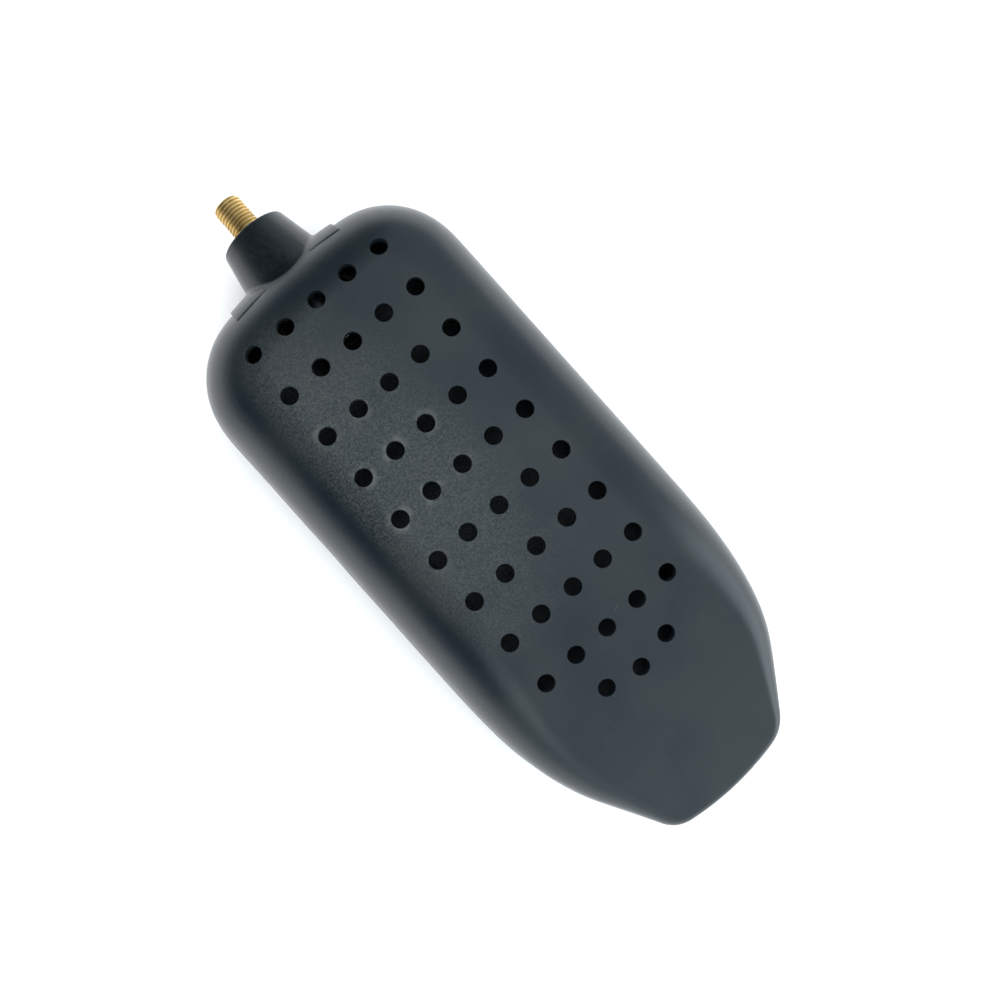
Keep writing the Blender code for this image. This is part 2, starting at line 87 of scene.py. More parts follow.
FLASH_REACH = 0.25 * MM  # the parting flash stands this far out of the shells
SHELL_HALF_WIDTH = HALF_WIDTH - FLASH_REACH
CORNER_RADIUS = 28.5 * MM
OUTLINE_STEP, OUTLINE_SOFTNESS = 0.25 * MM, 22  # its spacing, and the points either way in each mean
TAPER_Y = TAIL_Y + 82.6 * MM
WEDGE_START_Y = TAIL_Y + 86 * MM
WEDGE_SOFTNESS = 16 * MM
LIP_HALF_DEPTH = 1.7 * MM
LIP_HALF_WIDTH = 23.7 * MM
LIP_RADIUS = 100 * MM
LIP_SLANT, NECK_END_SLANT = 0.004, 0.02
TAPER_END_X, TAPER_END_Y = 38.2 * MM, TAIL_Y + 26.5 * MM  # below here the sides run straight to the lip
TAIL_LEAN, TAIL_LEAN_START_Y = 2.2 * MM, TAIL_Y + 42 * MM
END_PEAK_Y = BODY_END_Y + 1.8 * MM  # the neck end is crowned
END_CROWN = 1.5 * MM
WALL = 2.5 * MM
LIP_EXTRA_WALL, LIP_WALL_LENGTH = 5.5 * MM, 16 * MM  # the lip is solid for some way in
LEAST_CAVITY_DEPTH = 0.7 * MM
SEAM = 0.02 * MM  # each shell stops this far from the parting plane
SEAM_CLEARANCE = 2.5 * SEAM  # and what is joined to it keeps this far off

HOLE_RADIUS = 2.85 * MM
HOLE_COLUMNS, HOLE_ROWS = 5, 9
HOLE_PITCH_X, HOLE_PITCH_Y = 12.75 * MM, 16.84 * MM
FIRST_ROW_Y = BODY_END_Y - 19.1 * MM
TAIL_HOLE_SPREAD, TAIL_HOLE_DROP, TAIL_HOLE_MIDDLE_DROP = 12.6 * MM, 14.7 * MM, 17.1 * MM

LAND_LOW_X, LAND_HIGH_X = -22.4 * MM, 20.7 * MM
LAND_HALF_DEPTH, LAND_RISE = 15.6 * MM, 1.15 * MM
LAND_FAR_RISE, LAND_MIDDLE_SINK, LAND_SINK_REACH = 0.2 * MM, 0.5 * MM, 19.6 * MM
ROOT_HALF_WIDTH, ROOT_LENGTH = 23.5 * MM, 9.5 * MM
NECK_END_RADIUS, NECK_BASE_RADIUS = 11.9 * MM, 15.2 * MM
TUBE_RADIUS = 13.0 * MM
CHAMBER_RADIUS = 9.5 * MM
CARTRIDGE_RADIUS = 10.6 * MM
CHAMBER_TOP_Y = NECK_END_Y - 5.1 * MM
SHOULDER_Y = BODY_END_Y - 13.7 * MM
THREAD_RADIUS, THREAD_ROOT_RADIUS, THREAD_PITCH = 5.0 * MM, 4.22 * MM, 1.25 * MM
THREAD_CHAMFER, THREAD_FADE = 0.9 * MM, 0.8 * MM
NIPPLE_BORE = 3.0 * MM


# ---- helpers


def new_object(name, data):
    obj = bpy.data.objects.new(name, data)
    bpy.context.scene.collection.objects.link(obj)
    return obj


def mesh_object(name, points, faces, material, sharp=30):
    """A shaded object from points and faces."""
    mesh = bpy.data.meshes.new(name)
    mesh.from_pydata([tuple(p) for p in points], [], faces)
    mesh.validate()
    bm = bmesh.new()
    bm.from_mesh(mesh)
    bmesh.ops.recalc_face_normals(bm, faces=bm.faces)
    bm.to_mesh(mesh)
    bm.free()
    obj = new_object(name, mesh)
    mesh.materials.append(material)
    soften_shading(obj, sharp)
    return obj


def soften_shading(obj, sharp):
    obj.data.shade_smooth()
    obj.data.set_sharp_from_angle(angle=math.radians(sharp))


def cut(obj, cutter, operation="DIFFERENCE", sharp=30):
    """Applies one Boolean and removes the cutter."""
    modifier = obj.modifiers.new("cut", "BOOLEAN")
    modifier.operation = operation
    modifier.object = cutter
    modifier.solver = "EXACT"
    bpy.context.view_layer.update()
    graph = bpy.context.evaluated_depsgraph_get()
    done = bpy.data.meshes.new_from_object(obj.evaluated_get(graph))
    obj.modifiers.clear()
    old, obj.data = obj.data, done
    done.name = old.name
    bpy.data.meshes.remove(old)
    bpy.data.objects.remove(cutter, do_unlink=True)
    soften_shading(obj, sharp)


def ring_faces(rings, count, closed_rings=True, closed_across=False):
    """Quads between neighbouring rings of count points each."""
    faces = []
    steps = count if closed_rings else count - 1
    for ring in range(rings if closed_across else rings - 1):
        a, b = ring * count, ((ring + 1) % rings) * count
        for i in range(steps):
            j = (i + 1) % count
            faces.append((a + i, a + j, b + j, b + i))
    return faces


def capped_faces(rings, count):
    """A tube through the rings, with both its ends filled."""
    ends = [tuple(ring * count + i for i in range(count)) for ring in (0, rings - 1)]
    return ring_faces(rings, count) + ends


def bend(start, corner, end, t):
    """The point at t, 0 to 1, on the curve that rounds off this corner."""
    return start * (1 - t) ** 2 + corner * (2 * t * (1 - t)) + end * t**2


def rounded(profile, radius, steps=3, closed=True):
    """(r, y) points with rounded corners. A point may carry its own radius. An open one keeps its ends."""
    found = []
    last = len(profile) - 1
    for index, corner in enumerate(profile):
        here = Vector(corner[:2])
        if not closed and index in (0, last):
            found.append(here)
            continue
        back = Vector(profile[index - 1][:2]) - here
        on = Vector(profile[(index + 1) % len(profile)][:2]) - here
        reach = corner[2] if len(corner) > 2 else radius
        reach = min(reach, 0.45 * back.length, 0.45 * on.length)
        if reach < 1e-6:
            found.append(here)
            continue
        start, end = here + back.normalized() * reach, here + on.normalized() * reach
        found += [bend(start, here, end, step / steps) for step in range(steps + 1)]
    return found


def ring_profile(inner, outer, low, high):
    return [(inner, low), (outer, low), (outer, high), (inner, high)]


def chamfered(left, right, low, high, edge):
    """A rectangle's corners, two at each chamfer."""
    return [
        (left, low + edge), (left + edge, low), (right - edge, low), (right, low + edge),
        (right, high - edge), (right - edge, high), (left + edge, high), (left, high - edge),
    ]


def turned_point(radius, y, turn, across=0.0):
    """A point at this radius from the valve's axis. The turn goes from +Z towards +X."""
    sine, cosine = math.sin(turn), math.cos(turn)
    return (radius * sine + across * cosine, y, AXIS_Z + radius * cosine - across * sine)


def revolve(name, section_at, material, segments=96, sharp=30):
    """A piece round the valve's axis. section_at(turn) gives its closed (radius, y) section there."""
    turns = [i / segments * TAU for i in range(segments)]
    sections = [section_at(turn) for turn in turns]
    count = len(sections[0])
    around = list(zip(turns, sections))
    points = [turned_point(*section[k], turn) for k in range(count) for turn, section in around]
    faces = ring_faces(count, segments, closed_across=True)
    return mesh_object(name, points, faces, material, sharp)


def lathe(name, profile, material, radius=0.2 * MM, segments=96, sharp=30):
    """A turned piece. Its (radius, y) profile closes on itself, or on the axis."""
    if profile[0][0] > 0:
        section = rounded(profile, radius)
        return revolve(name, lambda turn: section, material, segments, sharp)
    outline = rounded(profile, radius, closed=False)
    rings = outline[1:-1]
    points = [turned_point(r, y, i / segments * TAU) for r, y in rings for i in range(segments)]
    faces = ring_faces(len(rings), segments)
    for ring, y in ((0, outline[0].y), (len(rings) - 1, outline[-1].y)):
        base = ring * segments
        faces += [(len(points), base + i, base + (i + 1) % segments) for i in range(segments)]
        points.append((0, y, AXIS_Z))
    return mesh_object(name, points, faces, material, sharp)


def span(box):
    """Where a CAD node's box starts and ends along the valve's axis."""
    return box[0][1], box[1][1]


def place(obj, body, slot, *nodes):
    """The piece stands for these CAD nodes, and moves with the body."""
    if nodes:
        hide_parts(*nodes)
    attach(obj, body)
    return obj


# ---- the body's form


def eased(value):
    """0 to 1 with no slope at either end."""
    value = min(max(value, 0.0), 1.0)
    return value * value * (3 - 2 * value)


def half_depth(y):
    """Height of the body's face over the parting plane, on its middle line."""
    past = WEDGE_START_Y - y
    if abs(past) < WEDGE_SOFTNESS:
        past = (past + WEDGE_SOFTNESS) ** 2 / (4 * WEDGE_SOFTNESS)
    past = max(past, 0.0)
    return HALF_DEPTH - (HALF_DEPTH - LIP_HALF_DEPTH) * past / (WEDGE_START_Y - TAIL_Y)


def cavity_depth(y):
    return max(half_depth(y) - WALL, LEAST_CAVITY_DEPTH)


def half_outline():
    """Plan outline from the middle of the neck end, down the +X side, to the middle of the lip."""
    step = OUTLINE_STEP
    corner_x = SHELL_HALF_WIDTH - CORNER_RADIUS
    corner_y = END_PEAK_Y - END_CROWN - CORNER_RADIUS
    found = [
        Vector((x, END_PEAK_Y - END_CROWN * (x / corner_x) ** 2))
        for x in (i * step for i in range(int(corner_x / step)))
    ]
    arc_steps = int(CORNER_RADIUS * math.pi / 2 / step)
    for i in range(arc_steps):
        a = i / arc_steps * math.pi / 2
        out_x, out_y = CORNER_RADIUS * math.sin(a), CORNER_RADIUS * math.cos(a)
        found.append(Vector((corner_x + out_x, corner_y + out_y)))
    for i in range(int((corner_y - TAPER_Y) / step)):
        found.append(Vector((SHELL_HALF_WIDTH, corner_y - i * step)))
    tip_y = TAIL_Y + FLASH_REACH + 0.05 * MM
    start, end = Vector((SHELL_HALF_WIDTH, TAPER_Y)), Vector((TAPER_END_X, TAPER_END_Y))
    lip_corner = Vector((LIP_HALF_WIDTH, tip_y + LIP_HALF_WIDTH**2 / (2 * LIP_RADIUS)))
    straight = lip_corner - end
    corner = Vector((start.x, end.y + straight.y * (start.x - end.x) / straight.x))
    steps = int((end - start).length / step)
    found += [bend(start, corner, end, i / steps) for i in range(steps)]
    steps = int(straight.length / step)
    found += [end.lerp(lip_corner, i / steps) for i in range(steps)]
    steps = int(LIP_HALF_WIDTH / step)
    for i in range(steps + 1):
        x = LIP_HALF_WIDTH * (1 - i / steps)
        found.append(Vector((x, tip_y + x**2 / (2 * LIP_RADIUS))))
    return found


def smoothed(loop, reach):
    """The closed loop with each point moved to the mean of those within reach either way."""
    count = len(loop)
    return [
        sum((loop[(i + k) % count] for k in range(-reach, reach + 1)), Vector((0, 0))) / (2 * reach + 1)
        for i in range(count)
    ]


def leaned(point):
    """The tail leans a little to one side, and both ends slant slightly."""
    share = max((TAIL_LEAN_START_Y - point.y) / (TAIL_LEAN_START_Y - TAIL_Y), 0.0) ** 2
    slant = LIP_SLANT * share + NECK_END_SLANT * eased(point.y / BODY_END_Y * 2 - 1)
    return Vector((point.x - TAIL_LEAN * share, point.y + slant * point.x))


def end_line(x):
    """Where the crowned neck end's outline is, at this distance from the middle."""
    return END_PEAK_Y - END_CROWN * (x / (SHELL_HALF_WIDTH - CORNER_RADIUS)) ** 2 + NECK_END_SLANT * x


def plan_outline(count):
    """Evenly spaced points round the body, from the neck end's middle towards +X, and inward normals."""
    right = half_outline()
    left = [Vector((-p.x, p.y)) for p in reversed(right[1:])]
    loop = smoothed(right + left, OUTLINE_SOFTNESS)
    lengths = [(loop[(i + 1) % len(loop)] - p).length for i, p in enumerate(loop)]
    spacing = sum(lengths) / count
    points, walked, wanted = [], 0.0, 0.0
    for i, p in enumerate(loop):
        while walked + lengths[i] > wanted + 1e-12 and len(points) < count:
            points.append(p.lerp(loop[(i + 1) % len(loop)], (wanted - walked) / lengths[i]))
            wanted += spacing
        walked += lengths[i]
    points = [leaned(p) for p in points]
    normals = []
    for i in range(count):
        along = points[(i + 1) % count] - points[i - 1]
        normals.append(Vector((along.y, -along.x)).normalized())
    return points, normals


RING_COUNT, END_CELLS = 400, 58  # points round the body, and those that make the patch's neck side
OUTLINE, INWARD = plan_outline(RING_COUNT)


def surface_rings(outline, depth_at, steps):
    """Rings of (x, y, height) from the outline in over the rounded edge, one quarter turn in all."""
    rings = []
    for step in range(steps + 1):
        turn = step / steps * math.pi / 2
        ring = []
        for p, inward in zip(outline, INWARD):
            here = p + inward * depth_at(p.y) * (1 - math.cos(turn))
            ring.append((here.x, here.y, depth_at(here.y) * math.sin(turn)))
        rings.append(ring)
    return rings


def patch(ring, depth_at):
    """A grid of (x, y, height) that fills the ring, whose own points are its border."""
    side_cells = RING_COUNT // 2 - END_CELLS
    half = END_CELLS // 2
    at = [Vector(p[:2]) for p in ring]
    top = [at[i - half] for i in range(END_CELLS + 1)]
    right = [at[half + i] for i in range(side_cells + 1)]
    low = [at[half + side_cells + END_CELLS - i] for i in range(END_CELLS + 1)]
    left = [at[-half - i] for i in range(side_cells + 1)]
    grid = []
    for j in range(side_cells + 1):
        v = j / side_cells
        row = []
        for i in range(END_CELLS + 1):
            u = i / END_CELLS
            flat = top[i] * (1 - v) + low[i] * v + left[j] * (1 - u) + right[j] * u
            flat -= (top[0] * (1 - u) + top[-1] * u) * (1 - v) + (low[0] * (1 - u) + low[-1] * u) * v
            row.append((flat.x, flat.y, depth_at(flat.y)))
        grid.append(row)
    return grid


def skin(outline, depth_at, steps, add_point):
    """The whole surface over the outline. Returns (the outline ring's indices, faces)."""
    rings = surface_rings(outline, depth_at, steps)
    index = [[add_point(p) for p in ring] for ring in rings]
    first = index[0][0]  # each ring's indices follow on from the last one's
    faces = [tuple(first + v for v in face) for face in ring_faces(len(rings), RING_COUNT)]
    grid = patch(rings[-1], depth_at)
    rows, half = len(grid) - 1, END_CELLS // 2
    border = index[-1]
    ids = {}
    for j, row in enumerate(grid):
        for i, point in enumerate(row):
            if j == 0:
                ids[j, i] = border[i - half]
            elif j == rows:
                ids[j, i] = border[half + rows + END_CELLS - i]
            elif i == 0:
                ids[j, i] = border[-half - j]
            elif i == END_CELLS:
                ids[j, i] = border[half + j]
            else:
                ids[j, i] = add_point(point)
    for j in range(rows):
        for i in range(END_CELLS):
            faces.append((ids[j, i], ids[j, i + 1], ids[j + 1, i + 1], ids[j + 1, i]))
    return index[0], faces


def shell_mesh(material):
    """The undrilled front shell: outer skin, cavity, and the rim that joins them."""
    points = []

    def add_point(point):
        points.append((point[0], point[1], AXIS_Z + SEAM + point[2] * (1 - SEAM / HALF_DEPTH)))
        return len(points) - 1

    outer_steps, inner_steps, lip_blend = 14, 8, 10 * MM
    outer_ring, faces = skin(OUTLINE, half_depth, outer_steps, add_point)
    cavity = []
    for p, inward in zip(OUTLINE, INWARD):
        lip_wall = LIP_EXTRA_WALL * eased((TAIL_Y + LIP_WALL_LENGTH - p.y) / lip_blend)
        cavity.append(p + inward * (WALL + lip_wall))
    inner_ring, inner_faces = skin(cavity, cavity_depth, inner_steps, add_point)
    faces += [tuple(reversed(face)) for face in inner_faces]
    for i in range(RING_COUNT):
        j = (i + 1) % RING_COUNT
        faces.append((outer_ring[j], outer_ring[i], inner_ring[i], inner_ring[j]))
    return mesh_object("front_shell_moulding", points, faces, material)


# ---- perforations and the neck's land


def face_height(x, y):
    """Height of the outer skin over the parting plane at this place, where it is drilled."""
    depth = half_depth(y)
    in_x = SHELL_HALF_WIDTH - abs(x)
    in_y = end_line(x) - y
    over_x, over_y = CORNER_RADIUS - in_x, CORNER_RADIUS - in_y
    if over_x > 0 and over_y > 0:
        distance = CORNER_RADIUS - math.hypot(over_x, over_y)
    else:
        distance = min(in_x, in_y)
    share = min(distance / depth, 1.0)
    return depth * math.sqrt(1 - (1 - share) ** 2)


def face_normal(x, y):
    step = 0.05 * MM
    slope_x = (face_height(x + step, y) - face_height(x - step, y)) / (2 * step)
    slope_y = (face_height(x, y + step) - face_height(x, y - step)) / (2 * step)
    return Vector((-slope_x, -slope_y, 1)).normalized()


def hole_places():
    middle = (HOLE_COLUMNS - 1) / 2
    places = [
        ((column - middle) * HOLE_PITCH_X, FIRST_ROW_Y - row * HOLE_PITCH_Y)
        for row in range(HOLE_ROWS)
        for column in range(HOLE_COLUMNS)
    ]
    last_y = FIRST_ROW_Y - (HOLE_ROWS - 1) * HOLE_PITCH_Y
    places += [(side * TAIL_HOLE_SPREAD, last_y - TAIL_HOLE_DROP) for side in (-1, 1)]
    places.append((0.0, last_y - TAIL_HOLE_MIDDLE_DROP))
    return places


def drills(material):
    """One cutter for every hole: a drill with a small flare that breaks the edge at the surface."""
    chance = random.Random(7)
    wander, segments, reach, flare_depth = 0.22 * MM, 32, 6.0 * MM, 0.22 * MM
    flare = (0.04, -0.1), (0.15, 0.0), (0.5, 0.25)
    rings = [(HOLE_RADIUS, -reach), (HOLE_RADIUS, -flare_depth)]
    rings += [(HOLE_RADIUS + more * MM, height * MM) for more, height in flare]
    points, faces = [], []
    for x, y in hole_places():
        x += chance.uniform(-wander, wander)
        y += chance.uniform(-wander, wander)
        top = Vector((x, y, AXIS_Z + SEAM + face_height(x, y)))
        turn = Vector((0, 0, 1)).rotation_difference(face_normal(x, y))
        spot = Matrix.LocRotScale(top, turn, None)
        faces += [tuple(len(points) + v for v in face) for face in capped_faces(len(rings), segments)]
        for radius, height in rings:
            for a in (i / segments * TAU for i in range(segments)):
                points.append(spot @ Vector((radius * math.cos(a), radius * math.sin(a), height)))
    return mesh_object("drills", points, faces, material)


LAND_TURN = math.asin(LAND_HALF_DEPTH / HALF_DEPTH)  # how far the land reaches round the rounded end


def land_radius(x, turn):
    """The land's distance from the rounded end's axis. Its far edge sinks in, most at the middle."""
    middle = 1 - eased(abs(x) / LAND_SINK_REACH)
    sink = (LAND_RISE - LAND_FAR_RISE + LAND_MIDDLE_SINK * middle) * (turn / LAND_TURN) ** 2
    return HALF_DEPTH + LAND_RISE - sink


def land_point(x, turn, rise):
    """A point over the land at this turn from the parting plane."""
    radius = land_radius(x, turn) + rise
    return (x, end_line(x) - HALF_DEPTH + radius * math.cos(turn), AXIS_Z + radius * math.sin(turn))


def end_y(x, height):
    """Where the surface of the body's neck end is: the land's, or the shell's where that is further out."""
    shell_sink = 0.04 * MM
    shell = math.sqrt(max(HALF_DEPTH**2 - height**2, 0)) - shell_sink
    turn = 0.0
    for _ in range(6):
        turn = math.asin(min(abs(height) / land_radius(x, turn), 0.99))
    land = land_radius(x, turn) * math.cos(turn) if turn < LAND_TURN else 0.0
    return end_line(x) - HALF_DEPTH + max(shell, land)


def grid_block(columns, rows, levels, point_at):
    """A block whose walls run through the (inset, height) levels. Its first and last levels are filled.
    point_at(inset, height, x share, y share) gives its points."""
    around = 2 * (columns + rows)
    path = [(i, 0) for i in range(columns)] + [(columns, j) for j in range(rows)]
    path += [(columns - i, rows) for i in range(columns)] + [(0, rows - j) for j in range(rows)]
    points = [point_at(*level, i / columns, j / rows) for level in levels for i, j in path]
    faces = ring_faces(len(levels), around)
    for number in (0, len(levels) - 1):
        border = {spot: number * around + k for k, spot in enumerate(path)}
        for j in range(rows):
            for i in range(columns):
                for spot in ((i, j), (i + 1, j), (i + 1, j + 1), (i, j + 1)):
                    if spot not in border:
                        border[spot] = len(points)
                        points.append(point_at(*levels[number], spot[0] / columns, spot[1] / rows))
                faces.append((border[i, j], border[i + 1, j], border[i + 1, j + 1], border[i, j + 1]))
    return points, faces


def land_block(material):
    """The front half of the land, as a closed block that sinks into the shell's wall."""

    def point_at(inset, height, x_share, y_share):
        x = LAND_LOW_X + inset + (LAND_HIGH_X - LAND_LOW_X - 2 * inset) * x_share
        low = SEAM_CLEARANCE / HALF_DEPTH
        turn = low + (LAND_TURN - inset / HALF_DEPTH - low) * y_share
        return land_point(x, turn, height)

    columns, rows = 40, 26
    levels = [(-0.15 * MM, -1.5 * MM), (0.0, -0.14 * MM), (0.05 * MM, -0.04 * MM), (0.16 * MM, 0.0)]
    return mesh_object("land_block", *grid_block(columns, rows, levels, point_at), material)


def root_block(material):
    """The solid root behind the land, which the neck's tube goes through and the ring nut bears on."""
    back_y, radius = BODY_END_Y - ROOT_LENGTH, HALF_DEPTH - WALL / 2
    centre_y = END_PEAK_Y - END_CROWN - HALF_DEPTH
    top = math.acos((back_y - centre_y) / radius)
    low = SEAM_CLEARANCE / radius
    arc_steps, steps = 20, 24
    turns = [low + (top - low) * i / arc_steps for i in range(arc_steps + 1)]
    section = [(centre_y + radius * math.cos(a), radius * math.sin(a)) for a in turns]
    section.append((back_y, low * radius))
    points = [
        ((i / steps * 2 - 1) * ROOT_HALF_WIDTH, y, AXIS_Z + height)
        for i in range(steps + 1)
        for y, height in section
    ]
    return mesh_object("root_block", points, capped_faces(steps + 1, len(section)), material)


def make_shells(material):
    front = shell_mesh(material)
    cut(front, root_block(material), "UNION")
    cut(front, land_block(material), "UNION")
    cut(front, neck_opening(material))
    back = new_object("back_shell_moulding", front.data.copy())
    back.data.name = back.name
    flip = Matrix.Translation((0, 0, 2 * AXIS_Z)) @ Matrix.Diagonal((1, 1, -1, 1))
    back.data.transform(flip)
    back.data.flip_normals()
    cut(front, drills(material))
    place(front, BODY, "black_plastic", "front_shell")
    place(back, BODY, "black_plastic", "back_shell")


def neck_opening(material):
    """The cutter for the neck's tube."""
    low, high = BODY_END_Y - 12 * MM, BODY_END_Y + 5 * MM
    radius = TUBE_RADIUS + 0.2 * MM
    return lathe("neck_opening", ring_profile(0, radius, low, high), material, radius=0)


def make_flash(material):
    """The thin, uneven flash that stands out of the joint between the shells."""
    chance = random.Random(3)
    knots = [chance.uniform(0.3, 1.0) for _ in range(40)]
    half_height, bedded, most_reach = 0.016 * MM, 0.6 * MM, FLASH_REACH - 0.02 * MM
    points = []
    for i, (p, inward) in enumerate(zip(OUTLINE, INWARD)):
        spot = i / RING_COUNT * len(knots)
        near, share = int(spot), eased(spot - int(spot))
        width = knots[near] * (1 - share) + knots[(near + 1) % len(knots)] * share
        inner, outer = p + inward * bedded, p - inward * most_reach * width
        for at, share in ((inner, -1), (outer, -0.5), (outer, 0.5), (inner, 1)):
            points.append((at.x, at.y, AXIS_Z + share * half_height))
    flash = mesh_object("parting_flash", points, ring_faces(RING_COUNT, 4, closed_across=True), material)
    place(flash, BODY, "black_plastic")


# ---- neck and outlet

NECK_SLOPE = (NECK_BASE_RADIUS - NECK_END_RADIUS) / (NECK_END_Y - BODY_END_Y)
SHANK_BORE = THREAD_RADIUS + 0.3 * MM
COLLAR_HIGH_Y = CHAMBER_TOP_Y - 1.8 * MM
COLLAR_LOW_Y = COLLAR_HIGH_Y - 3.0 * MM


def neck_section(turn):
    """The neck's section at this turn: the cone, flaring onto the land, and the stepped bore."""
    across, up = math.sin(turn), math.cos(turn)
    base_y = BODY_END_Y
    for _ in range(12):
        base_r = NECK_END_RADIUS + NECK_SLOPE * (NECK_END_Y - base_y)
        base_y = end_y(base_r * across, base_r * up)
    fillet = (0.6 + 1.1 * across**2) * MM  # wider at the sides
    flare_r = base_r + fillet
    start = Vector((base_r - NECK_SLOPE * fillet, base_y + fillet))
    end = Vector((flare_r, end_y(flare_r * across, flare_r * up)))
    corner = Vector((base_r, base_y))
    flare_steps = 8
    flare = [bend(start, corner, end, i / flare_steps) for i in range(flare_steps + 1)]
    sunk = 0.06 * MM  # the neck's skirt beds this far into the shells, so that no gap shows
    under, inner_r = [], TUBE_RADIUS + 0.1 * MM
    for share in (1.0, 0.75, 0.5, 0.25, 0.0):
        r = inner_r + (flare_r - inner_r) * share
        under.append(Vector((r, end_y(r * across, r * up) - sunk)))
    groove_low, groove_high = TUBE_END_Y + 4.1 * MM, TUBE_END_Y + 5.9 * MM
    groove_radius = 11.5 * MM
    inside = [
        (TUBE_RADIUS, under[-1].y, 0),
        (TUBE_RADIUS, TUBE_END_Y, 0.3 * MM),
        (CARTRIDGE_RADIUS, TUBE_END_Y, 0.4 * MM),
        (CARTRIDGE_RADIUS, groove_low),
        (groove_radius, groove_low),
        (groove_radius, groove_high),
        (CARTRIDGE_RADIUS, groove_high),
        (CARTRIDGE_RADIUS, SHOULDER_Y),
        (CHAMBER_RADIUS, SHOULDER_Y, 0.3 * MM),
        (CHAMBER_RADIUS, CHAMBER_TOP_Y, 0.4 * MM),
        (SHANK_BORE, CHAMBER_TOP_Y),
        (SHANK_BORE, NECK_END_Y, 0.25 * MM),
        (NECK_END_RADIUS, NECK_END_Y, 0.45 * MM),
        (start.x, start.y, 0),
    ]
    return rounded(inside, 0.1 * MM, steps=5, closed=False) + flare[1:] + under[:-1]


def make_neck(material):
    neck = revolve("valve_neck", neck_section, material, segments=160)
    place(neck, BODY, "black_plastic", "neck_housing")


def thread_radius(y, turn, run_out, tip):
    """Radius of a right-hand thread: flat crests, 60 degree flanks and rounded roots."""
    phase = (y / THREAD_PITCH - turn / TAU) % 1
    off_crest = abs(phase - 0.5) * 2
    crest_share, flank_share = 0.1, 0.72
    depth = eased((off_crest - crest_share) / flank_share)
    depth *= eased((y - run_out) / THREAD_FADE)
    radius = THREAD_RADIUS - (THREAD_RADIUS - THREAD_ROOT_RADIUS) * depth
    past, chamfer_slope = y - (tip - THREAD_CHAMFER), 0.75
    return min(radius, THREAD_RADIUS - max(past, 0.0) * chamfer_slope)


def make_nipple(material):
    spigot, spigot_low = 4.4 * MM, COLLAR_LOW_Y - 2.0 * MM
    collar = CHAMBER_RADIUS - 0.3 * MM
    run_out, tip = NECK_END_Y - 0.4 * MM, NIPPLE_TIP_Y
    rows_per_pitch, bore_edge = 20, 0.35 * MM
    rows = int((tip - run_out) / THREAD_PITCH * rows_per_pitch)
    profile = [
        (NIPPLE_BORE, tip),
        (NIPPLE_BORE, spigot_low, 0.3 * MM),
        (spigot, spigot_low, 0.4 * MM),
        (spigot, COLLAR_LOW_Y, 0.15 * MM),
        (collar, COLLAR_LOW_Y, 0.3 * MM),
        (collar, COLLAR_HIGH_Y, 0.3 * MM),
        (THREAD_RADIUS, COLLAR_HIGH_Y, 0.2 * MM),
        (THREAD_RADIUS, run_out),
    ]
    body = rounded(profile, 0.2 * MM, closed=False)

    def section_at(turn):
        thread = []
        for row in range(1, rows + 1):
            y = run_out + (tip - run_out) * row / rows
            thread.append(Vector((thread_radius(y, turn, run_out, tip), y)))
        mouth = [Vector((NIPPLE_BORE + bore_edge, tip)), Vector((NIPPLE_BORE, tip - bore_edge))]
        return mouth[1:] + body[1:] + thread + mouth[:1]

    nipple = revolve("threaded_nipple", section_at, material, segments=88, sharp=50)
    place(nipple, BODY, "brass", "outlet_nipple")


# ---- inside: seals, clamp and check valve


def torus(name, radius, section, y, material):
    sides = 16
    angles = [i / sides * TAU for i in range(sides)]
    ring = [Vector((radius + section * math.cos(a), y - section * math.sin(a))) for a in angles]
    return revolve(name, lambda turn: ring, material)


def arc_plate(name, radii_at, start, end, low_y, high_y, material, segments=90):
    """A flat plate part of the way round the axis. radii_at(turn) gives its inner and outer radius."""
    edge = 0.12 * (high_y - low_y)
    points = []
    for i in range(segments + 1):
        turn = start + (end - start) * i / segments
        points += [turned_point(r, y, turn) for r, y in chamfered(*radii_at(turn), low_y, high_y, edge)]
    return mesh_object(name, points, capped_faces(segments + 1, 8), material)


def box_cutter(name, low, high, turn, material):
    """A box between two (radius, across, y) corners, turned round the valve's axis."""
    corners = [(r, s, y) for r in (low[0], high[0]) for s in (low[1], high[1]) for y in (low[2], high[2])]
    points = [turned_point(r, y, turn, across) for r, across, y in corners]
    faces = [(0, 1, 3, 2), (4, 6, 7, 5), (0, 4, 5, 1), (2, 3, 7, 6), (0, 2, 6, 4), (1, 5, 7, 3)]
    return mesh_object(name, points, faces, material)


def make_clamp(brass, steel):
    """The slotted ring nut on the tube, and its washer, which clamp the shells against the neck."""
    low, high = span(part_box("neck_ring_nut"))
    inner, outer = TUBE_RADIUS + 0.15 * MM, 15.0 * MM
    profile = [(inner, low, 0.3 * MM), (outer, low), (outer, high), (inner, high, 0.3 * MM)]
    nut = lathe("clamp_ring_nut", profile, brass, 0.4 * MM)
    slots, half_width, slot_floor = 4, 1.75 * MM, 13.7 * MM
    for index in range(slots):
        turn = (index + 0.5) * TAU / slots
        near, far = (slot_floor, -half_width, low - MM), (outer + MM, half_width, high + MM)
        cut(nut, box_cutter(f"nut_slot_{index}", near, far, turn, brass))
    place(nut, BODY, "brass", "neck_ring_nut")
    profile = ring_profile(inner, outer, *span(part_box("neck_washer")))
    washer = lathe("clamp_washer", profile, steel, 0.15 * MM)
    place(washer, BODY, "stainless_steel", "neck_washer")


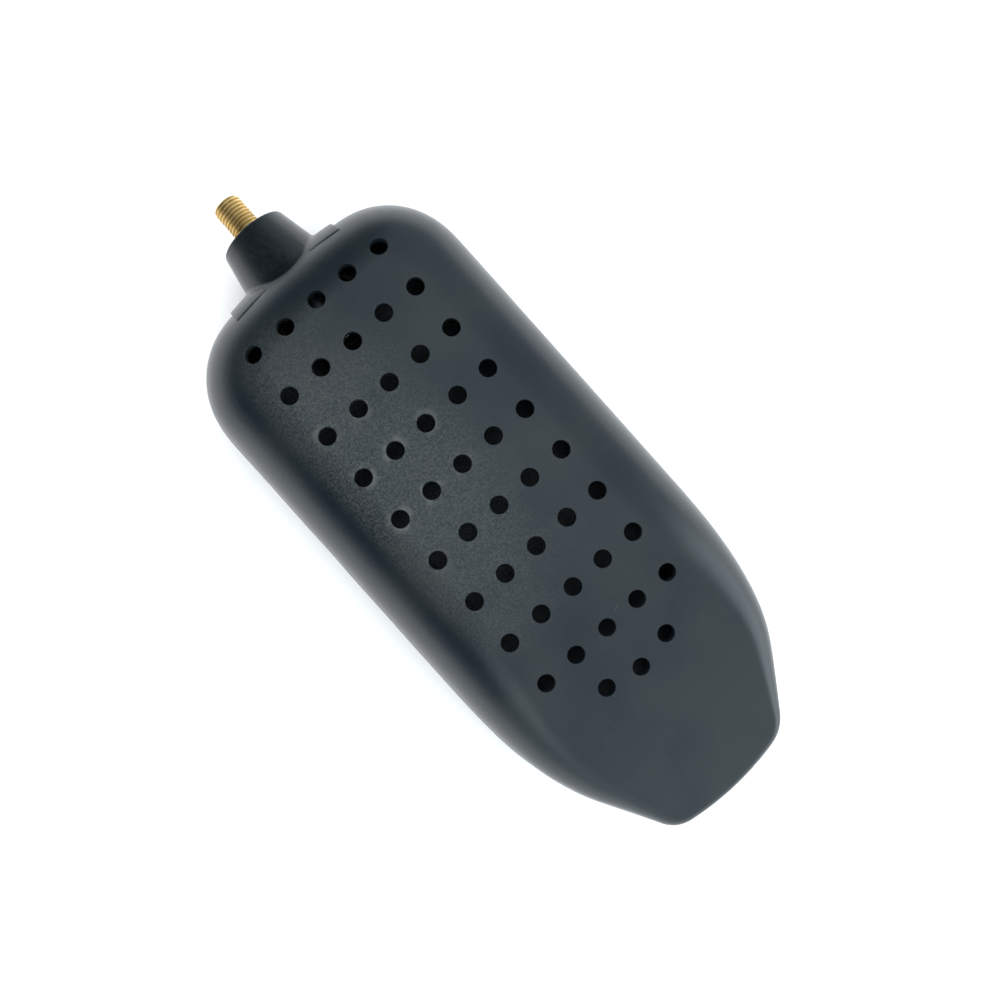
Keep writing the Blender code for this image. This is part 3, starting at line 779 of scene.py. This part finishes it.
def make_cartridge(brass, rubber, acetal, steel):
    """Gasket, seat ring, guide spider and the ring that holds them in the tube."""
    outer = CARTRIDGE_RADIUS - 0.3 * MM
    gasket = lathe("seat_gasket_ring", ring_profile(7.2 * MM, outer, *span(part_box("seat_gasket"))), rubber)
    place(gasket, BODY, "black_rubber", "seat_gasket")

    low, high = span(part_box("seat_ring"))
    flange_high, bore, lip = low + 4.0 * MM, 5.2 * MM, 6.6 * MM
    profile = [
        (bore, high, 0.15 * MM),
        (bore + 0.7 * MM, high, 0.15 * MM),
        (lip, high - 0.8 * MM, 0.15 * MM),
        (lip, flange_high, 0.25 * MM),
        (outer, flange_high, 0.3 * MM),
        (outer, low, 0.3 * MM),
        (bore, low, 0.6 * MM),
    ]
    place(lathe("valve_seat", profile, brass), BODY, "brass", "seat_ring")

    low, high = span(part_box("guide_spider"))
    ring_inner, hub, stem_bore, overlap = 8.6 * MM, 3.6 * MM, 2.15 * MM, 0.6 * MM
    spider = lathe("stem_guide", ring_profile(ring_inner, outer, low, high), acetal)
    arms = 3
    for index in range(arms):
        turn = math.pi / 2 + index * TAU / arms
        cut(spider, spider_arm(turn, hub - overlap, ring_inner + overlap, low, high, acetal), "UNION")
    hub_low = low + 0.08 * MM  # the clip just clears the hub at full lift
    centre = lathe("hub", ring_profile(stem_bore, hub, hub_low, high), acetal, segments=64)
    cut(spider, centre, "UNION")
    place(spider, BODY, "white_acetal", "guide_spider")

    low, high = span(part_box("retaining_ring"))
    half_mouth, lug, lug_depth = math.asin(3.0 / 10.4), 0.26, 1.5 * MM
    inner, outer = 9.4 * MM, 11.3 * MM
    start, end = math.pi / 2 + half_mouth, math.pi * 2.5 - half_mouth

    def radii_at(turn):
        past = min(turn - start, end - turn)
        return inner - lug_depth * (1 - eased((past - lug * 0.6) / (lug * 0.5))), outer

    ring = arc_plate("bore_circlip", radii_at, start, end, low, high, steel, 140)
    place(ring, BODY, "stainless_steel", "retaining_ring")


def spider_arm(turn, start, end, low, high, material):
    """One arm, wider where it meets the hub and the ring."""
    steps, inset, edge = 16, 0.6 * MM, 0.3 * MM
    half_width, widening = 0.9 * MM, 0.8 * MM
    points = []
    for i in range(steps + 1):
        share = i / steps
        radius = start + (end - start) * share
        half = half_width + widening * (2 * abs(share - 0.5)) ** 5
        section = chamfered(-half, half, low + inset, high - inset, edge)
        points += [turned_point(radius, y, turn, across) for across, y in section]
    return mesh_object("spider_arm", points, capped_faces(steps + 1, 8), material)


def make_poppet(acetal, rubber, brass, steel):
    """Everything that lifts: disc and stem, facing, washer, nut and clip."""
    low, high = span(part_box("poppet"))
    facing_low, facing_high = span(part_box("poppet_seal"))
    clip_low, clip_high = span(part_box("stem_clip"))
    disc_low, disc = facing_high + 0.15 * MM, 7.4 * MM
    disc_high, stem, spigot, groove = disc_low + 2.0 * MM, 2.0 * MM, 4.4 * MM, 1.6 * MM
    profile = [
        (0, high),
        (spigot - 0.8 * MM, high, 0.2 * MM),
        (spigot, high - 0.8 * MM, 0.2 * MM),
        (spigot, disc_high, 0.3 * MM),
        (disc, disc_high, 0.5 * MM),
        (disc, disc_low, 0.3 * MM),
        (stem, disc_low, 0.1 * MM),
        (stem, clip_high, 0.03 * MM),
        (groove, clip_high, 0.03 * MM),
        (groove, clip_low, 0.03 * MM),
        (stem, clip_low, 0.03 * MM),
        (stem, low, 0.3 * MM),
        (0, low),
    ]
    place(lathe("valve_poppet", profile, acetal), POPPET, "white_acetal", "poppet")
    bore = stem + 0.15 * MM
    profile = [(bore, facing_low), (disc, facing_low, 0.4 * MM)]
    profile += [(disc, facing_high, 0.3 * MM), (bore, facing_high)]
    place(lathe("poppet_facing", profile, rubber), POPPET, "black_rubber", "poppet_seal")
    profile = ring_profile(bore, 4.6 * MM, *span(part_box("seal_washer")))
    washer = lathe("facing_washer", profile, brass, segments=72)
    place(washer, POPPET, "brass", "seal_washer")

    low, high = span(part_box("poppet_nut"))
    apothem, edge = 8.1 * MM / 2 * math.cos(math.pi / 6), 0.3 * MM

    def nut_section(turn):
        flat = apothem / math.cos(turn % (math.pi / 3) - math.pi / 6)
        inside = [(bore + edge, high), (bore, high - edge), (bore, low + edge), (bore + edge, low)]
        cone = [(apothem * 0.94 + 1.75 * d, d) for d in (i * 0.06 * MM for i in range(9))]
        up = [(min(flat, r), low + d) for r, d in cone]
        down = [(min(flat, r), high - d) for r, d in reversed(cone)]
        return inside + up + down

    nut = revolve("facing_nut", nut_section, brass, segments=72, sharp=25)
    place(nut, POPPET, "brass", "poppet_nut")

    gap = 0.45  # radians either way
    inner, outer, lobe = 2.25 * MM, 3.4 * MM, 0.55 * MM

    def clip_radii(turn):
        lobes = eased((math.cos((turn - math.pi) * 4.0) - 0.2) / 0.5)
        return inner - lobe * lobes, outer

    clip = arc_plate("stem_e_clip", clip_radii, gap, TAU - gap, clip_low, clip_high, steel)
    place(clip, POPPET, "stainless_steel", "stem_clip")


def make_spring(material):
    """The return spring, with closed and flattened-looking end turns."""
    wire, radius, turns, per_turn, sides = 0.45 * MM, 5.4 * MM, 6, 40, 10
    low, high = span(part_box("return_spring"))
    first, last = low + wire, high - wire
    closed = 2.3 * wire  # the rise of a closed turn
    shut, opening = 0.6, 0.8  # turns at each end
    points = []
    for i in range(turns * per_turn + 1):
        turn = i / per_turn
        left = turns - turn
        middle = eased((turn - shut) / opening) * (1 - eased((shut + opening - left) / opening))
        share = (turn - 1) / (turns - 2)
        open_y = first + closed + (last - first - 2 * closed) * share
        closed_y = first + closed * turn if turn < turns / 2 else last - closed * left
        y = closed_y + (open_y - closed_y) * middle
        for a in (k / sides * TAU for k in range(sides)):
            points.append(turned_point(radius + wire * math.cos(a), y + wire * math.sin(a), turn * TAU))
    faces = capped_faces(turns * per_turn + 1, sides)
    spring = mesh_object("poppet_spring", points, faces, material)
    place(spring, BODY, "stainless_steel", "return_spring")
    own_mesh(spring)


# ---- materials


def add_node(tree, kind, settings=(), **inputs):
    """A new node. _2=value sets its input number 2, and other inputs go by name."""
    made = tree.nodes.new(kind)
    for key, value in dict(settings).items():
        setattr(made, key, value)
    for socket, value in inputs.items():
        socket = made.inputs[int(socket[1:]) if socket[0] == "_" else socket.replace("_", " ")]
        if isinstance(value, bpy.types.NodeSocket):
            tree.links.new(value, socket)
        else:
            socket.default_value = value
    return made


def add_math(tree, operation, a, b):
    return add_node(tree, "ShaderNodeMath", {"operation": operation}, _0=a, _1=b).outputs[0]


def add_spread(tree, value, low, high, to_low=0.0, to_high=1.0):
    """The value's range low..high, mapped smoothly to to_low..to_high."""
    ends = {"_1": low, "_2": high, "_3": to_low, "_4": to_high}
    settings = {"interpolation_type": "SMOOTHSTEP"}
    return add_node(tree, "ShaderNodeMapRange", settings, Value=value, **ends).outputs[0]


class Look:
    """A procedural material on one principled shader. Lengths in its textures are in millimetres."""

    def __init__(self, name, **shader_values):
        self.material = bpy.data.materials.new(name)
        self.material.use_nodes = True
        self.tree = self.material.node_tree
        self.shader = self.tree.nodes["Principled BSDF"]
        for socket, value in shader_values.items():
            self.shader.inputs[socket.replace("_", " ")].default_value = value
        self.place = self.node("ShaderNodeTexCoord").outputs["Object"]

    def node(self, kind, settings=(), **inputs):
        return add_node(self.tree, kind, settings, **inputs)

    def math(self, operation, a, b=0.0):
        return add_math(self.tree, operation, a, b)

    def times(self, a, b):
        return self.math("MULTIPLY", a, b)

    def plus(self, a, b):
        return self.math("ADD", a, b)

    def vector(self, operation, a, b=(0, 0, 0)):
        return self.node("ShaderNodeVectorMath", {"operation": operation}, _0=a, _1=b).outputs

    def split(self, vector):
        return tuple(self.node("ShaderNodeSeparateXYZ", Vector=vector).outputs)

    def noise(self, size, detail=3.0, roughness=0.5, stretch=(1, 1, 1), place=None):
        """Noise whose features are about size millimetres across."""
        scale = [s / (size * MM) for s in stretch]
        at = self.node("ShaderNodeMapping", Vector=place or self.place, Scale=scale).outputs[0]
        made = self.node("ShaderNodeTexNoise", Vector=at, Scale=1.0, Detail=detail, Roughness=roughness)
        return made.outputs["Fac"]

    def spread(self, *values):
        return add_spread(self.tree, *values)

    def blend(self, factor, a, b):
        """Colour a where factor is 0 and b where it is 1."""
        colours = [part if isinstance(part, bpy.types.NodeSocket) else (*part, 1) for part in (a, b)]
        made = self.node("ShaderNodeMix", {"data_type": "RGBA"}, _0=factor, _6=colours[0], _7=colours[1])
        return made.outputs[2]

    def feed(self, socket, value):
        self.tree.links.new(value, self.shader.inputs[socket])

    def roughen(self, value, share, least):
        self.feed("Roughness", self.plus(self.times(value, share), least))

    def bump(self, height, distance):
        """Relief of this many millimetres."""
        made = self.node("ShaderNodeBump", Height=height, Strength=1.0, Distance=distance * MM)
        self.feed("Normal", made.outputs[0])


NEAR_BLACKS = (0.0036, 0.0072, 0.0110), (0.0092, 0.0125, 0.0150)
# the first is pale dust, also used as painted sheen; the second is a painted highlight for some hole rims
DUST_AND_SHEEN_COLOUR, RIM_HIGHLIGHT_COLOUR = (0.052, 0.057, 0.053), (0.085, 0.092, 0.084)
SHEEN_AND_DUST_SCALE, SHEEN_AND_DUST_SHIFT = (1 / 0.030, 1 / 0.075, 1 / 0.05), (0.64, -0.28, -0.9)  # of the patch of dust and painted sheen
SHEEN_AND_DUST_HEIGHTS = 42.8 * MM, 45.6 * MM  # only the flat face gets the dust and the painted sheen
# over this span the face turns paler, in patches, towards the neck end
PALER_END_Y = 93 * MM, 97.5 * MM
RIM_HIGHLIGHT_PATCH, RIM_HIGHLIGHT_REACH = (-24, -55, 0), (36, 14)  # millimetres: where some hole rims get a painted highlight


def black_plastic(name, depth, dust_and_sheen_amount):
    """Satin plastic between two near-blacks, with pale dust and a patch of painted sheen, painted highlights
    on some hole rims, and paler patches towards the neck end. A depth below 1 darkens it as painted shade.
    """
    look = Look(name, Specular_IOR_Level=0.5)
    # a depth below 1 scales these down as painted shade
    deep, grey = [[part * depth for part in colour] for colour in NEAR_BLACKS]
    _, y, height = look.split(look.place)
    # a broad patch on the flat face: painted sheen, with heavier dust in it
    centred = look.node("ShaderNodeMapping", Vector=look.place, Scale=SHEEN_AND_DUST_SCALE, Location=SHEEN_AND_DUST_SHIFT)
    reach = look.vector("LENGTH", centred.outputs[0])["Value"]
    sheen_and_dust_patch = look.spread(look.plus(reach, look.times(look.noise(28), 1.2)), 1.9, 0.9)
    sheen_and_dust_patch = look.times(sheen_and_dust_patch, look.spread(height, *SHEEN_AND_DUST_HEIGHTS))
    clouds = look.spread(look.noise(38), 0.36, 0.66)
    colour = look.blend(clouds, deep, grey)
    grains = look.spread(look.noise(0.6, 3, 0.75), 0.30, 0.80)
    dust_and_sheen = look.times(grains, look.plus(look.times(sheen_and_dust_patch, 0.72), 0.05))
    # paler, in patches, towards the neck end
    marks = look.spread(look.noise(1.6, 3, 0.7), 0.25, 0.75)
    paler_end = look.times(look.spread(y, *PALER_END_Y), marks)
    dust_and_sheen = look.times(look.plus(dust_and_sheen, look.times(paler_end, 0.85)), dust_and_sheen_amount)
    # blend in the pale dust and the painted sheen
    colour = look.blend(dust_and_sheen, colour, DUST_AND_SHEEN_COLOUR)
    # a painted highlight on the rims of some holes
    colour = look.blend(look.times(painted_rim_highlights(look), 0.45 * dust_and_sheen_amount), colour, RIM_HIGHLIGHT_COLOUR)
    scuffs = scratches(look)
    colour = look.blend(look.times(scuffs, 0.5), colour, DUST_AND_SHEEN_COLOUR)
    look.feed("Base Color", colour)
    look.roughen(look.plus(look.times(look.noise(14, 4), 0.14), look.times(dust_and_sheen, 0.15)), 1.0, 0.22)
    peel = look.times(look.noise(1.5, 3, 0.6), 0.65)
    pitted = look.times(look.noise(0.5, 2, 0.65), 0.35)
    look.bump(look.math("SUBTRACT", look.plus(peel, pitted), look.times(scuffs, 0.6)), 0.045)
    return look.material


def painted_rim_highlights(look):
    """Painted highlights: pale rings round some of the holes, on the same lattice as the drilling."""
    x, y, height = look.split(look.place)
    offsets, cells, centre = [], [], []
    for value, pitch, first in ((x, HOLE_PITCH_X, 0.0), (y, HOLE_PITCH_Y, FIRST_ROW_Y)):
        along = look.math("DIVIDE", look.math("SUBTRACT", value, first), pitch)
        cell = look.math("ROUND", along)
        cells.append(cell)
        offsets.append(look.times(look.math("SUBTRACT", along, cell), pitch / MM))
        centre.append(look.times(cell, pitch / MM))
    flat = look.node("ShaderNodeCombineXYZ", X=offsets[0], Y=offsets[1]).outputs[0]
    ring = look.spread(look.vector("LENGTH", flat)["Value"], 5.4, 2.9)
    crescents = look.spread(look.noise(4.5, 2), 0.42, 0.62)
    hole = look.node("ShaderNodeCombineXYZ", X=centre[0], Y=centre[1]).outputs[0]
    from_patch = look.vector("DISTANCE", hole, RIM_HIGHLIGHT_PATCH)["Value"]
    chosen = look.times(look.spread(from_patch, *RIM_HIGHLIGHT_REACH), crescents)
    in_columns = look.math("LESS_THAN", look.math("ABSOLUTE", cells[0]), HOLE_COLUMNS / 2)
    from_middle_row = look.math("ABSOLUTE", look.plus(cells[1], (HOLE_ROWS - 1) / 2))
    in_rows = look.math("LESS_THAN", from_middle_row, HOLE_ROWS / 2)
    on_front = look.math("GREATER_THAN", height, AXIS_Z)
    drilled = look.times(look.times(in_columns, in_rows), on_front)
    return look.times(look.times(ring, chosen), drilled)


def scratches(look):
    """A few fine hairlines."""
    turned = look.node("ShaderNodeMapping", Vector=look.place, Rotation=(0, 0, 0.5))
    line = look.noise(0.5, 1, 0.4, stretch=(1, 0.02, 1), place=turned.outputs[0])
    patchy = look.spread(look.noise(26, 2), 0.6, 0.7)
    return look.times(look.spread(line, 0.72, 0.77), patchy)


def brass():
    """Turned brass, with painted shade that makes the roots of its thread browner than the crests."""
    look = Look("brass", Metallic=1.0)
    off_axis = look.vector("SUBTRACT", look.place, (0, 0, AXIS_Z))["Vector"]
    radius = look.vector("LENGTH", look.vector("MULTIPLY", off_axis, (1, 0, 1))["Vector"])["Value"]
    # painted shade: browner nearer the axis, in the thread's roots
    crest = look.spread(radius, THREAD_ROOT_RADIUS, THREAD_RADIUS - 0.1 * MM)
    worn = look.spread(look.noise(2.5, 4, 0.6), 0.35, 0.7)
    painted_root_shade = look.blend(worn, (0.58, 0.39, 0.16), (0.68, 0.48, 0.21))
    crest_colour = look.blend(worn, (0.84, 0.62, 0.27), (0.93, 0.75, 0.42))
    colour = look.blend(crest, painted_root_shade, crest_colour)
    tarnish = look.spread(look.noise(0.9, 3, 0.65), 0.58, 0.74)
    colour = look.blend(look.times(tarnish, 0.4), colour, (0.36, 0.22, 0.09))
    look.feed("Base Color", colour)
    turning = look.noise(0.12, 2, 0.5, stretch=(0.15, 1, 0.15))
    look.roughen(turning, 0.14, 0.33)
    look.bump(turning, 0.006)
    return look.material


def black_rubber():
    look = Look("black_rubber", Specular_IOR_Level=0.35)
    shade = look.spread(look.noise(1.2), 0.4, 0.65)
    look.feed("Base Color", look.blend(shade, (0.010, 0.010, 0.011), (0.028, 0.028, 0.029)))
    look.roughen(shade, 0.15, 0.62)
    look.bump(look.noise(0.18, 3, 0.6), 0.012)
    return look.material


def white_acetal():
    look = Look("white_acetal", Specular_IOR_Level=0.45, Subsurface_Weight=0.15, Subsurface_Scale=0.0015)
    shade = look.spread(look.noise(3.0), 0.4, 0.65)
    look.feed("Base Color", look.blend(shade, (0.70, 0.69, 0.65), (0.80, 0.79, 0.76)))
    turning = look.noise(0.2, 2, 0.5, stretch=(0.2, 1, 0.2))
    look.roughen(turning, 0.18, 0.30)
    look.bump(turning, 0.008)
    return look.material


def stainless_steel():
    look = Look("stainless_steel", Metallic=1.0)
    shade = look.spread(look.noise(1.5), 0.35, 0.7)
    look.feed("Base Color", look.blend(shade, (0.50, 0.51, 0.52), (0.66, 0.67, 0.67)))
    drawn = look.noise(0.15, 2, 0.5, stretch=(1, 0.2, 1))
    look.roughen(drawn, 0.18, 0.20)
    look.bump(drawn, 0.005)
    return look.material


def pale_floor():
    look = Look("pale_floor", Roughness=0.7, Specular_IOR_Level=0.2)
    mottle = look.spread(look.noise(90, 2), 0.3, 0.7)
    look.feed("Base Color", look.blend(mottle, (0.82, 0.82, 0.82), (0.84, 0.84, 0.84)))
    return look.material


# ---- floor, light and camera

SKY_TOP, SKY_SIDE, SKY_LEFT, SKY_DARK, SKY_RIM = 1.16, 0.68, 0.21, 0.0, 1.05
GLOWS = [  # direction, where its smooth edge starts and ends, strength
    ((-0.34, -0.94, 0), 0.5, 0.9, 1.0),  # the tail side
    ((0.69, -0.69, 0.2), 0.82, 0.97, 2.3),  # a window
    ((-0.50, -0.42, 0.76), 0.95, 0.995, 1.3),  # a lamp
]
TINT = (0.87, 1.0, 1.07, 1)
FILL = 3.9


def make_floor():
    """A pale table that reaches a metre and a half either way."""
    reach = 1.5
    mesh = bpy.data.meshes.new("table")
    corners = [(-reach, -reach, 0), (reach, -reach, 0), (reach, reach, 0), (-reach, reach, 0)]
    mesh.from_pydata(corners, [], [(0, 1, 2, 3)])
    floor = new_object("table", mesh)
    mesh.materials.append(pale_floor())
    floor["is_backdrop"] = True


def make_light():
    """A tent: bright overhead, dim to the left, dark on one far side, with a rim at the horizon and some
    glows. The camera sees plain white."""
    world = bpy.data.worlds.new("tent")
    bpy.context.scene.world = world
    world.use_nodes = True
    tree = world.node_tree

    def along(*direction):
        settings = {"operation": "DOT_PRODUCT"}
        return add_node(tree, "ShaderNodeVectorMath", settings, _0=towards, _1=direction).outputs["Value"]

    towards = add_node(tree, "ShaderNodeTexCoord").outputs["Generated"]
    bright = add_spread(tree, along(0.15, -0.08, 1.0), 0.92, 1.01, SKY_SIDE, SKY_TOP)
    shade = add_spread(tree, along(-1, 0, 0), -0.05, 0.65, 1.0, SKY_LEFT)
    bright = add_math(tree, "MULTIPLY", bright, shade)
    tent = add_spread(tree, along(-0.6, 0.8, 0), 0.10, 0.42, bright, SKY_DARK)
    glow = add_math(tree, "MAXIMUM", tent, add_spread(tree, along(0, 0, 1), 0.45, -0.1, 0.0, SKY_RIM))
    for direction, low, high, strength in GLOWS:
        glow = add_math(tree, "ADD", glow, add_spread(tree, along(*direction), low, high, 0.0, strength))
    to_camera = add_node(tree, "ShaderNodeLightPath").outputs["Is Camera Ray"]
    seen = add_node(tree, "ShaderNodeMix", {"data_type": "FLOAT"}, _0=to_camera, _2=glow, _3=1.0)
    tint = add_node(tree, "ShaderNodeMix", {"data_type": "RGBA"}, _0=to_camera, _6=TINT, _7=(1, 1, 1, 1))
    background = tree.nodes["Background"]
    tree.links.new(seen.outputs[0], background.inputs["Strength"])
    tree.links.new(tint.outputs[2], background.inputs["Color"])

    fill = bpy.data.lights.new("overhead_fill", "SUN")
    fill.energy, fill.angle = FILL, math.radians(100)
    lamp = new_object("overhead_fill", fill)
    lamp.location = (0, 0, 1)
    lamp.visible_glossy = False


def make_camera():
    data = bpy.data.cameras.new("camera")
    data.lens, data.sensor_width = 36, 36
    data.clip_start = 0.01
    camera = new_object("camera", data)
    camera.location = (-0.0212, -0.0055, 0.3509)
    camera.rotation_euler = [math.radians(a) for a in (2.8, -3.1, -41.82)]
    bpy.context.scene.camera = camera
    bpy.context.scene.view_settings.view_transform = "Standard"


plastic = black_plastic("black_plastic", depth=1.0, dust_and_sheen_amount=1.0)
# the neck's copy: darker as painted shade, and nearly free of dust
clean_plastic_painted_shade = black_plastic("clean_black_plastic_painted_shade", depth=0.5, dust_and_sheen_amount=0.12)
brass_look, rubber, acetal, steel = brass(), black_rubber(), white_acetal(), stainless_steel()
make_shells(plastic)
make_flash(plastic)
make_neck(clean_plastic_painted_shade)
make_nipple(brass_look)
seal_y = (CHAMBER_TOP_Y + COLLAR_HIGH_Y) / 2
place(torus("nipple_o_ring", 7.3 * MM, 0.75 * MM, seal_y, rubber), BODY, "black_rubber", "nipple_seal")
make_clamp(brass_look, steel)
make_cartridge(brass_look, rubber, acetal, steel)
make_poppet(acetal, rubber, brass_look, steel)
make_spring(steel)
make_floor()
make_light()
make_camera()
